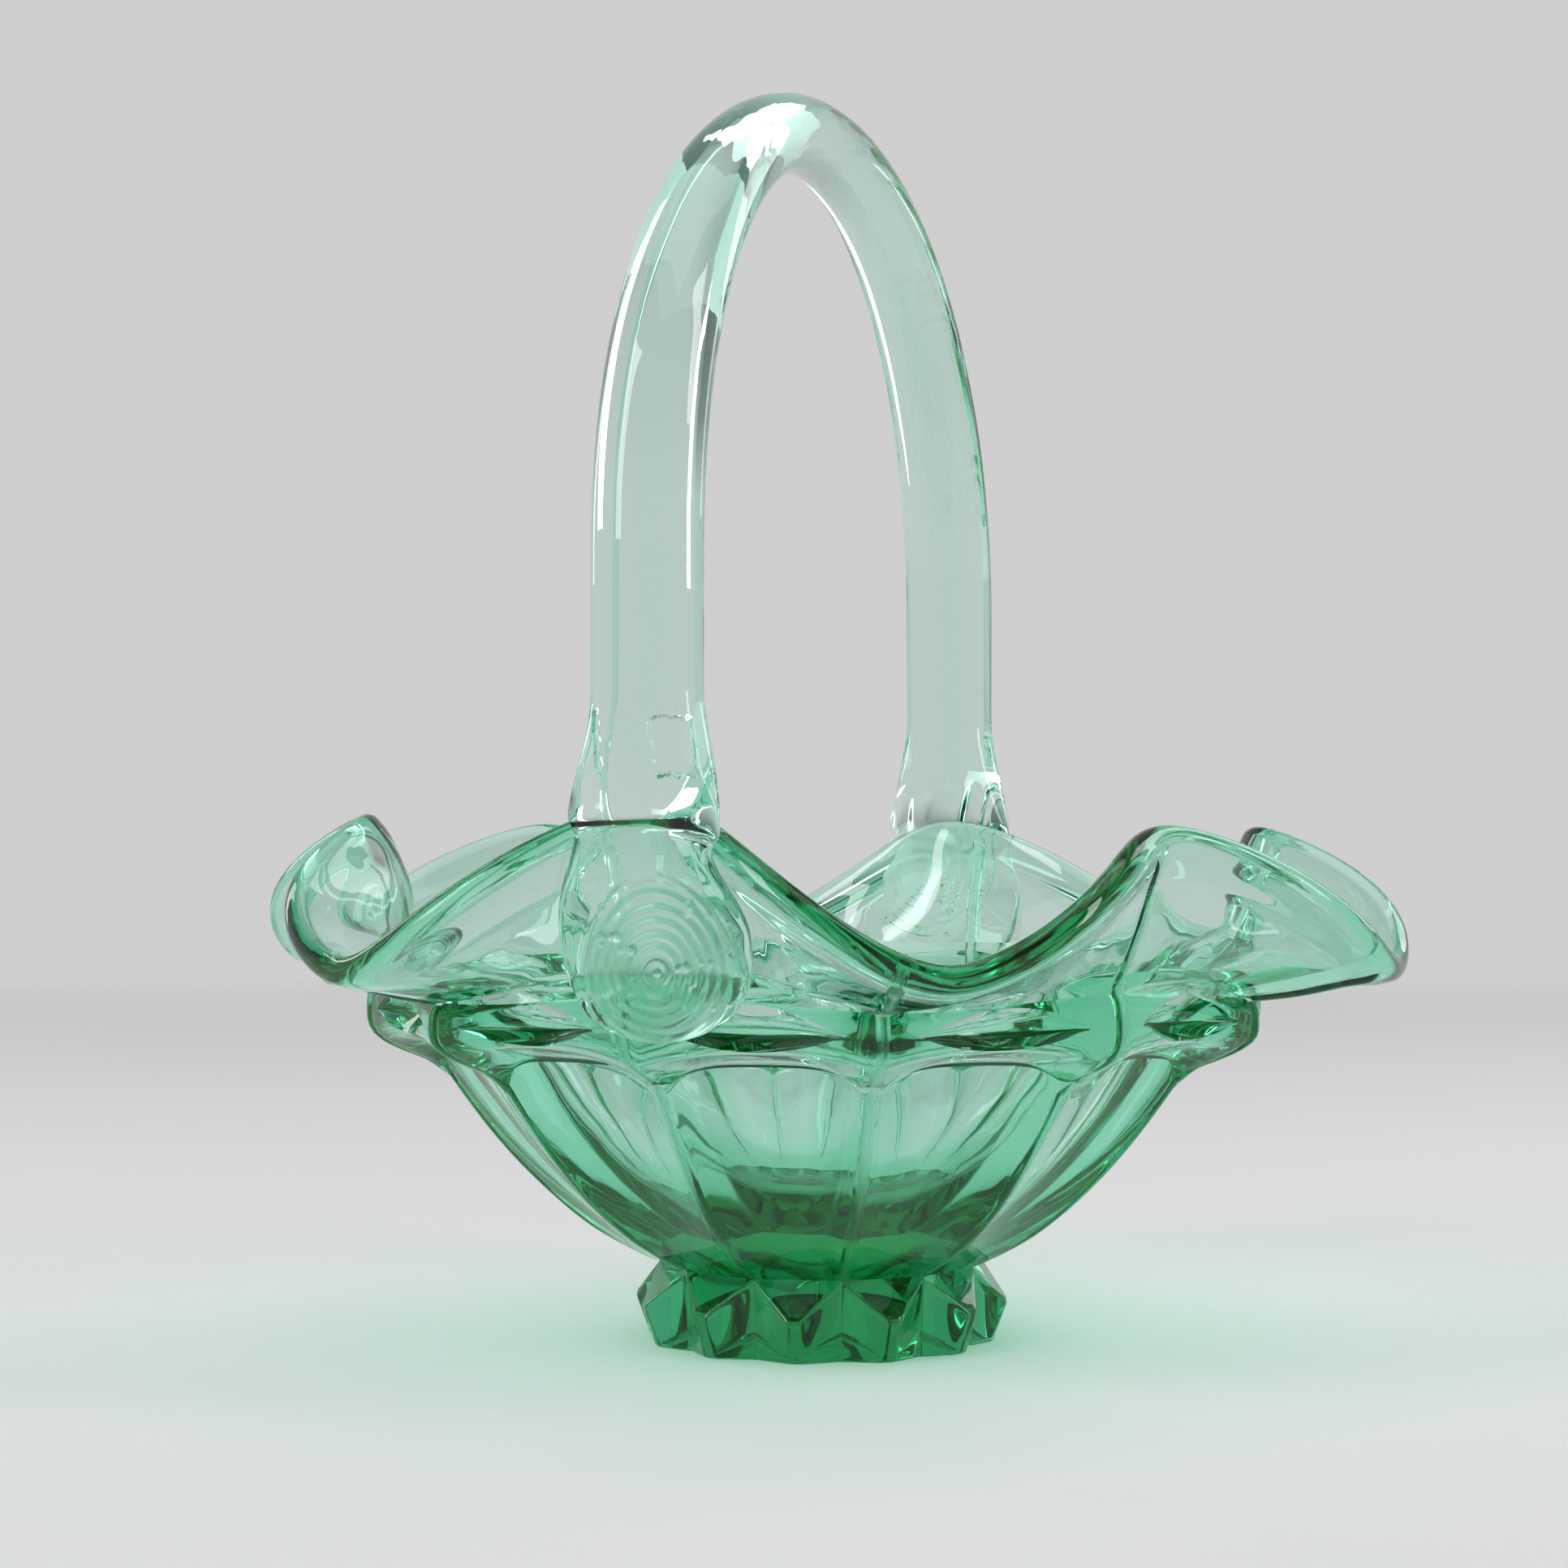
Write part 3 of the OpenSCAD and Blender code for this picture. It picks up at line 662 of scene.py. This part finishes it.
    def stamped(self, side, y, z):
        """Height of the rings and bubbles at a place on a stamped end."""
        across, up = self.on_stamp(side, y, z)
        reach = math.hypot(across, up)
        fade = smooth((self.stamp_radius + 0.001 - reach) / 0.0016)
        if not fade:
            return 0.0
        place = Vector((across, up, side * 0.01)) * 260
        wobble = 0.00016 * noise.noise(place * 0.6) + 0.00005 * noise.noise(place * 2)
        reach += wobble * smooth(reach / 0.005)
        crest = (0.5 + 0.5 * math.cos(2 * math.pi * reach / self.ring_pitch)) ** 1.3
        broken = 0.75 + 0.5 * noise.noise(place * 0.8 + Vector((5, 2, 9)))
        height = self.ring_height * crest * max(min(broken, 1.0), 0.25)
        for x, h, size in self.bubbles:
            size *= self.bubble_size
            gap = math.hypot(across - x, up - h)
            if gap < size:
                height = max(height, 0) + 0.9 * math.sqrt(size * size - gap * gap)
        return (height - self.ring_height / 2) * fade

    def streaks(self, a, along):
        """How far a place on the hoop lies below its plain round section, as a share."""
        way = Vector((math.cos(a), math.sin(a), 0))
        fine = noise.noise(way * 5.5 + Vector((0, 0, along * 9)))
        broad = noise.noise(way * 1.7 + Vector((3, 1, along * 22)))
        return (0.5 + 0.35 * fine + 0.5 * broad) * 2 * self.streak / self.leg_width

    def leg_ring(self, side, kind, level):
        """A section through a stamped end or the leg above it."""
        left, right = (self.edge(side, kind, level, way) for way in (-1, 1))
        z_middle = self.back_point(side, kind, level, (left + right) / 2).z
        rise = (z_middle - self.pad_height) / (self.taper - self.pad_height)
        square = lerp(0.4, 1, smooth(rise))
        whole_way = 2 * self.spring_height + math.pi * self.leg_middle
        along = z_middle if side > 0 else whole_way - z_middle
        centre = Vector((self.leg_middle, 0, z_middle))
        ring = []
        for turn in self.around:
            a = side * turn
            y = lerp(left, right, (1 + math.sin(a)) / 2)
            outward = (1 + math.copysign(abs(math.cos(a)) ** square, math.cos(a))) / 2
            back = self.back_point(side, kind, level, y)
            front, least = self.pad_front(back.z), back.x + self.pad_edge
            front = (front + least + math.hypot(front - least, self.front_soft)) / 2
            p = Vector((lerp(back.x, front, outward), back.y, back.z))
            if kind == "leg":
                p = p.lerp(centre, self.streaks(turn, along))
            elif math.cos(a) > 0.2:
                p.x += self.stamped(side, p.y, p.z) * smooth(2 * math.cos(a) - 0.4)
            ring.append(Vector((side * p.x, side * p.y, p.z)))
        return ring

    def tool_mark(self, y, z):
        """Depth of the tool marks at a place on the leg."""
        total = 0.0
        for left, height, half, tall, depth in self.marks:
            ragged = 0.0003 * noise.noise(Vector((y, z, 0)) * 900)
            slant = 0.12 * (z - height)
            inside = min(half - abs(y - left + slant), tall - abs(z - height)) + ragged
            total += depth * smooth(inside / 0.0006)
        return total

    def leg_rings(self, side):
        """The sections of one side, from the lowest point of its stamped end to the arch."""
        seats = spread(-1, 0, 22) + spread(0, 0.85, 86) + spread(0.85, 1, 7)
        rings = [self.leg_ring(side, "seat", x) for x in seats]
        rings += [self.leg_ring(side, "lip", math.radians(x)) for x in spread(0, 75, 8) + [75]]
        start = self.collar + self.leaving_height
        first, second = (self.leg_ring(side, "leg", start + x) for x in (0, MM))
        leaving = [self.joined(*points) for points in zip(rings[-2], rings[-1], first, second)]
        leg = [[Vector(curve(points, t)) for points in leaving] for t in spread(0, 1, 24)[1:]]
        heights = spread(start, self.taper, 26) + spread(self.taper, self.spring_height, 14)
        leg += [self.leg_ring(side, "leg", z) for z in heights]
        if side > 0:
            self.press_marks(leg)
        return rings + leg

    @staticmethod
    def joined(before, first, last, after):
        """The four points of a curve that leaves first and reaches last without a kink."""
        size = (last - first).length
        low = first + 0.12 * size * (first - before).normalized()
        return first, low, last - 0.33 * size * (after - last).normalized(), last

    def press_marks(self, rings):
        """Presses the tool marks into the front of the leg."""
        for ring in rings:
            for turn, p in zip(self.around, ring):
                if math.cos(turn) > 0:
                    p.x -= self.tool_mark(p.y, p.z)

    def arch_ring(self, a):
        """A section through the arch, from the front leg (0) over the top to the back leg."""
        reach, rise = self.leg_middle, self.arch_rise
        centre = Vector((reach * math.cos(a), 0, self.spring_height + rise * math.sin(a)))
        along = Vector((-reach * math.sin(a), 0, rise * math.cos(a))).normalized()
        outward = Vector((along.z, 0, -along.x))
        low = abs(math.cos(a)) ** 1.4
        depth = lerp(self.top_depth, self.leg_depth, low)
        width = lerp(self.top_width, self.leg_width, low)
        so_far = self.spring_height + reach * a
        ring = []
        for turn in self.around:
            way = depth / 2 * math.cos(turn) * outward + Vector((0, width / 2 * math.sin(turn), 0))
            ring.append(centre + way * (1 - self.streaks(turn, so_far)))
        return ring

    def rings(self):
        """Every section, from the stamped end at +X over the hoop to the one at -X."""
        arch = [self.arch_ring(a) for a in spread(0, math.pi, 110) + [math.pi]]
        return self.leg_rings(1) + arch + self.leg_rings(-1)[::-1]


def hard_edges(bm, angle):
    """Smooth shading, with edges hard where faces meet at more than an angle."""
    for face in bm.faces:
        face.smooth = True
    for edge in bm.edges:
        edge.smooth = len(edge.link_faces) != 2 or edge.calc_face_angle(0) < angle


def finished(name, bm):
    """Makes a mesh object at the origin from a bmesh."""
    mesh = bpy.data.meshes.new(name)
    bm.to_mesh(mesh)
    bm.free()
    piece = bpy.data.objects.new(name, mesh)
    bpy.context.collection.objects.link(piece)
    return piece


class Value:
    """A number, colour or vector in a material, on which Python's operators add nodes."""

    def __init__(self, graph, socket):
        self.graph, self.socket = graph, socket

    def maths(self, operation, *values):
        return self.graph.add("ShaderNodeMath", {"operation": operation}, dict(enumerate(values)))

    def __add__(self, other):
        return self.maths("ADD", self, other)

    def __sub__(self, other):
        return self.maths("SUBTRACT", self, other)

    def __mul__(self, other):
        return self.maths("MULTIPLY", self, other)

    def __truediv__(self, other):
        return self.maths("DIVIDE", self, other)

    def clamped(self, low, high):
        return self.graph.add("ShaderNodeClamp", {}, {"Value": self, "Min": low, "Max": high})


class Graph:
    """The nodes of one material or world."""

    def __init__(self, owner):
        owner.use_nodes = True
        self.tree = owner.node_tree
        self.tree.nodes.clear()

    def add(self, kind, settings=None, sockets=None, out=0):
        """A node of a type, with its settings, then the values or links of its sockets."""
        node = self.tree.nodes.new(kind)
        for name, value in (settings or {}).items():
            if name == "stops":
                ramp = node.color_ramp.elements
                while len(ramp) < len(value):
                    ramp.new(0.5)
                for stop, (position, shade) in zip(ramp, value):
                    stop.position, stop.color = position, shade
            else:
                setattr(node, name, value)
        for key, value in (sockets or {}).items():
            if isinstance(value, Value):
                self.tree.links.new(value.socket, node.inputs[key])
            else:
                node.inputs[key].default_value = value
        return Value(self, node.outputs[out]) if len(node.outputs) else None


def grey(value):
    return (value, value, value, 1)


def glass(name, tint, density, shade, waviness):
    """Clear coloured glass: it takes light by the length of the way through it."""
    material = bpy.data.materials.new(name)
    graph = Graph(material)
    place = graph.add("ShaderNodeTexCoord", out=3)
    smudge = graph.add("ShaderNodeTexNoise", {}, {"Vector": place, "Scale": 55.0, "Detail": 3.0})
    dull = graph.add("ShaderNodeAttribute", {"attribute_name": "frost"}, out=2)
    rough = ((smudge - 0.6) * 0.08).clamped(0.0, 0.02) + dull
    wave = graph.add("ShaderNodeTexNoise", {}, {"Vector": place, "Scale": waviness, "Detail": 2.0})
    bump = graph.add("ShaderNodeBump", {}, {"Height": wave, "Strength": 0.12, "Distance": 0.0006})
    clear = {"Base Color": (0.97, 1.0, 0.985, 1), "Roughness": rough, "IOR": 1.52}
    clear |= {"Transmission Weight": 1.0, "Normal": bump}
    body = graph.add("ShaderNodeBsdfPrincipled", {}, clear)
    see = graph.add("ShaderNodeBsdfTransparent", {}, {"Color": (*shade, 1)})
    shadow_ray = graph.add("ShaderNodeLightPath", out=1)
    surface = graph.add("ShaderNodeMixShader", {}, {0: shadow_ray, 1: body, 2: see})
    volume = graph.add("ShaderNodeVolumeAbsorption", {}, {"Color": (*tint, 1), "Density": density})
    graph.add("ShaderNodeOutputMaterial", {}, {"Surface": surface, "Volume": volume})
    return material


class BASKET_OT_bowl(bpy.types.Operator):
    """Spins the bowl's profile round the axis and presses the panels and the rim into it"""

    bl_idname = "basket.bowl"
    bl_label = "Pressed bowl"

    def execute(self, context):
        scene = context.scene
        bowl = Bowl(scene.basket_bowl)
        levels = bowl.profile()
        bm = bmesh.new()
        layer = bm.verts.layers.int.new("level")
        dull = bm.verts.layers.float.new("frost")
        line = []
        for i, (kind, level) in enumerate(levels):
            place = bowl.place(kind, level, bowl.panel_turn)
            point = bm.verts.new((math.hypot(place.x, place.y), 0, place.z))
            point[layer] = i
            line.append(point)
        edges = [bm.edges.new(pair) for pair in zip(line, line[1:])]
        in_panel = len(bowl.columns)
        count = bowl.panel_count * in_panel
        bmesh.ops.spin(
            bm, geom=line + edges, cent=(0, 0, 0), axis=(0, 0, 1), angle=2 * math.pi, steps=count,
            use_merge=True,
        )
        angles = [
            bowl.panel_turn + (k // in_panel + bowl.columns[k % in_panel]) * 2 * bowl.half_panel
            for k in range(count)
        ]
        for vert in bm.verts:
            kind, level = levels[vert[layer]]
            column = round(math.atan2(vert.co.y, vert.co.x) / (2 * math.pi) * count) % count
            vert.co = bowl.place(kind, level, angles[column])
            vert[dull] = bowl.frost(kind, angles[column], vert.co.xy.length)
        bmesh.ops.remove_doubles(bm, verts=bm.verts, dist=1e-6)
        bmesh.ops.recalc_face_normals(bm, faces=bm.faces)
        hard_edges(bm, math.radians(26))
        piece = finished("pressed_bowl", bm)
        look = scene.basket_look
        piece.data.materials.append(
            glass("green_glass", look.bowl_glass, look.bowl_strength, (0.87, 0.915, 0.9), 90)
        )
        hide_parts("bowl")
        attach(piece, "root")
        return {"FINISHED"}


class BASKET_OT_handle(bpy.types.Operator):
    """Draws a ring along the hoop, presses both ends onto the wall and stamps them"""

    bl_idname = "basket.handle"
    bl_label = "Hoop handle"

    def execute(self, context):
        scene = context.scene
        handle = Handle(Bowl(scene.basket_bowl), scene.basket_handle)
        rings = handle.rings()
        bm = bmesh.new()
        # A flat grid, whose rows are laid on the rings and closed round them
        across, rows = len(handle.around), len(rings) - 1
        bmesh.ops.create_grid(bm, x_segments=across, y_segments=rows, size=0.5)
        for vert in bm.verts:
            cut, row = round((vert.co.x + 0.5) * across), round((vert.co.y + 0.5) * rows)
            vert.co = rings[row][cut % across]
        bmesh.ops.remove_doubles(bm, verts=bm.verts, dist=1e-7)
        ends = bmesh.ops.holes_fill(bm, edges=[e for e in bm.edges if e.is_boundary])["faces"]
        bmesh.ops.poke(bm, faces=ends)
        bmesh.ops.recalc_face_normals(bm, faces=bm.faces)
        hard_edges(bm, math.radians(50))
        dull = bm.verts.layers.float.new("frost")
        for vert in bm.verts:
            vert[dull] = handle.frost(vert.co)
        piece = finished("hoop_handle", bm)
        look = scene.basket_look
        piece.data.materials.append(
            glass("clear_glass", look.handle_glass, look.handle_strength, (0.88, 0.94, 0.92), 60)
        )
        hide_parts("handle")
        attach(piece, "root")
        return {"FINISHED"}


class BASKET_OT_studio(bpy.types.Operator):
    """Sets the floor, the backdrop, the lamps and the camera"""

    bl_idname = "basket.studio"
    bl_label = "Studio"

    # Camera: focal length, picture size and turns to the left and up, all in pixels, and
    # where it stands
    focal = 4000
    picture = 1932
    turned_left = 45
    turned_up = 54
    stand = math.radians(17)
    distance = 0.518
    height = 0.081
    # The backdrop, and where and over how much the floor fades into it
    pale = grey(0.62)
    fade_start = 0.35
    fade_length = 0.9
    # What the lamps aim at
    middle = Vector((0, 0, 0.08))

    def execute(self, context):
        scene = context.scene
        look = scene.basket_look
        bm = bmesh.new()
        bmesh.ops.create_circle(bm, segments=96, radius=6.0, cap_ends=True)
        floor = finished("floor", bm)
        material = bpy.data.materials.new("pale_floor")
        graph = Graph(material)
        paint = graph.add("ShaderNodeBsdfDiffuse", {}, {"Color": (*look.floor, 1)})
        place = graph.add("ShaderNodeTexCoord", out=3)
        reach = graph.add("ShaderNodeVectorMath", {"operation": "LENGTH"}, {0: place}, out=1)
        far = ((reach - self.fade_start) / self.fade_length).clamped(0.0, 1.0)
        haze = graph.add("ShaderNodeEmission", {}, {"Color": self.pale, "Strength": 1.0})
        both = graph.add("ShaderNodeMixShader", {}, {0: far, 1: paint, 2: haze})
        graph.add("ShaderNodeOutputMaterial", {}, {"Surface": both})
        floor.data.materials.append(material)
        self.world(scene)
        for name, where, size, power in (
            ("window", (0.77, -0.64, 0.62), (0.35, 0.85), 5.0),
            ("strip", (0.03, 0.95, 0.60), (0.22, 0.90), 3.4),
            ("top", (-0.15, 0.05, 1.35), (1.20, 1.20), 3.8),
            ("rear_window", (-0.84, 0.49, 0.62), (0.30, 0.85), 2.0),
            ("rear_strip", (-0.40, -0.88, 0.60), (0.14, 0.90), 1.3),
        ):
            light = bpy.data.lights.new(name, "AREA")
            light.shape, light.energy = "RECTANGLE", power
            light.size, light.size_y = size
            lamp = bpy.data.objects.new(name, light)
            lamp.location = where
            aim = self.middle - lamp.location
            lamp.rotation_euler = aim.to_track_quat("-Z", "Y").to_euler()
            lamp.visible_camera = False
            context.collection.objects.link(lamp)
        self.camera(scene)
        scene.view_settings.view_transform = "Standard"
        # Light passes many walls of glass before it leaves the foot
        scene.cycles.max_bounces = scene.cycles.transmission_bounces = 24
        scene.cycles.glossy_bounces = 12
        return {"FINISHED"}

    def world(self, scene):
        """A backdrop that darkens upwards."""
        world = bpy.data.worlds.new("studio")
        scene.world = world
        graph = Graph(world)
        way = graph.add("ShaderNodeTexCoord", out=0)
        height = graph.add("ShaderNodeSeparateXYZ", {}, {0: way}, out=2)
        shades = [(0.0, self.pale), (0.30, self.pale), (0.65, grey(0.22)), (1.0, grey(0.10))]
        backdrop = graph.add("ShaderNodeValToRGB", {"stops": shades}, {"Fac": height})
        light = graph.add("ShaderNodeBackground", {}, {"Color": backdrop, "Strength": 1.0})
        graph.add("ShaderNodeOutputWorld", {}, {"Surface": light})

    def camera(self, scene):
        """The camera at the photo's angle."""
        data = bpy.data.cameras.new("camera")
        data.sensor_width = 36.0
        data.lens = 36.0 * self.focal / self.picture
        data.clip_end = 50.0
        camera = bpy.data.objects.new("camera", data)
        x, y = math.cos(self.stand), math.sin(self.stand)
        camera.location = (self.distance * x, self.distance * y, self.height)
        ahead, right = Vector((-x, -y, 0)), Vector((-y, x, 0))
        yaw = math.atan(self.turned_left / self.focal)
        pitch = math.atan(self.turned_up / self.focal)
        ahead = ahead * math.cos(yaw) - right * math.sin(yaw)
        ahead = ahead * math.cos(pitch) + Vector((0, 0, math.sin(pitch)))
        camera.rotation_euler = ahead.to_track_quat("-Z", "Y").to_euler()
        scene.collection.objects.link(camera)
        scene.camera = camera


class BASKET_PT_panel(bpy.types.Panel):
    """Buttons that build the basket, and its sizes"""

    bl_idname = "BASKET_PT_panel"
    bl_label = "Glass basket"
    bl_space_type = "VIEW_3D"
    bl_region_type = "UI"
    bl_category = "Basket"

    def draw(self, context):
        for operator in OPERATORS:
            self.layout.operator(operator.bl_idname)
        for group in ("basket_bowl", "basket_handle", "basket_look"):
            sizes = getattr(context.scene, group)
            box = self.layout.box()
            for name in sizes.__annotations__:
                box.prop(sizes, name)


OPERATORS = (BASKET_OT_bowl, BASKET_OT_handle, BASKET_OT_studio)
GROUPS = {
    "basket_bowl": BasketBowlSizes,
    "basket_handle": BasketHandleSizes,
    "basket_look": BasketLook,
}


def register():
    for item in (*GROUPS.values(), *OPERATORS, BASKET_PT_panel):
        bpy.utils.register_class(item)
    for name, group in GROUPS.items():
        setattr(bpy.types.Scene, name, bpy.props.PointerProperty(type=group))


def unregister():
    for name in GROUPS:
        delattr(bpy.types.Scene, name)
    for item in (BASKET_PT_panel, *reversed(OPERATORS), *GROUPS.values()):
        bpy.utils.unregister_class(item)


def main():
    register()
    bpy.ops.basket.bowl()
    bpy.ops.basket.handle()
    bpy.ops.basket.studio()


if __name__ == "__main__":
    main()
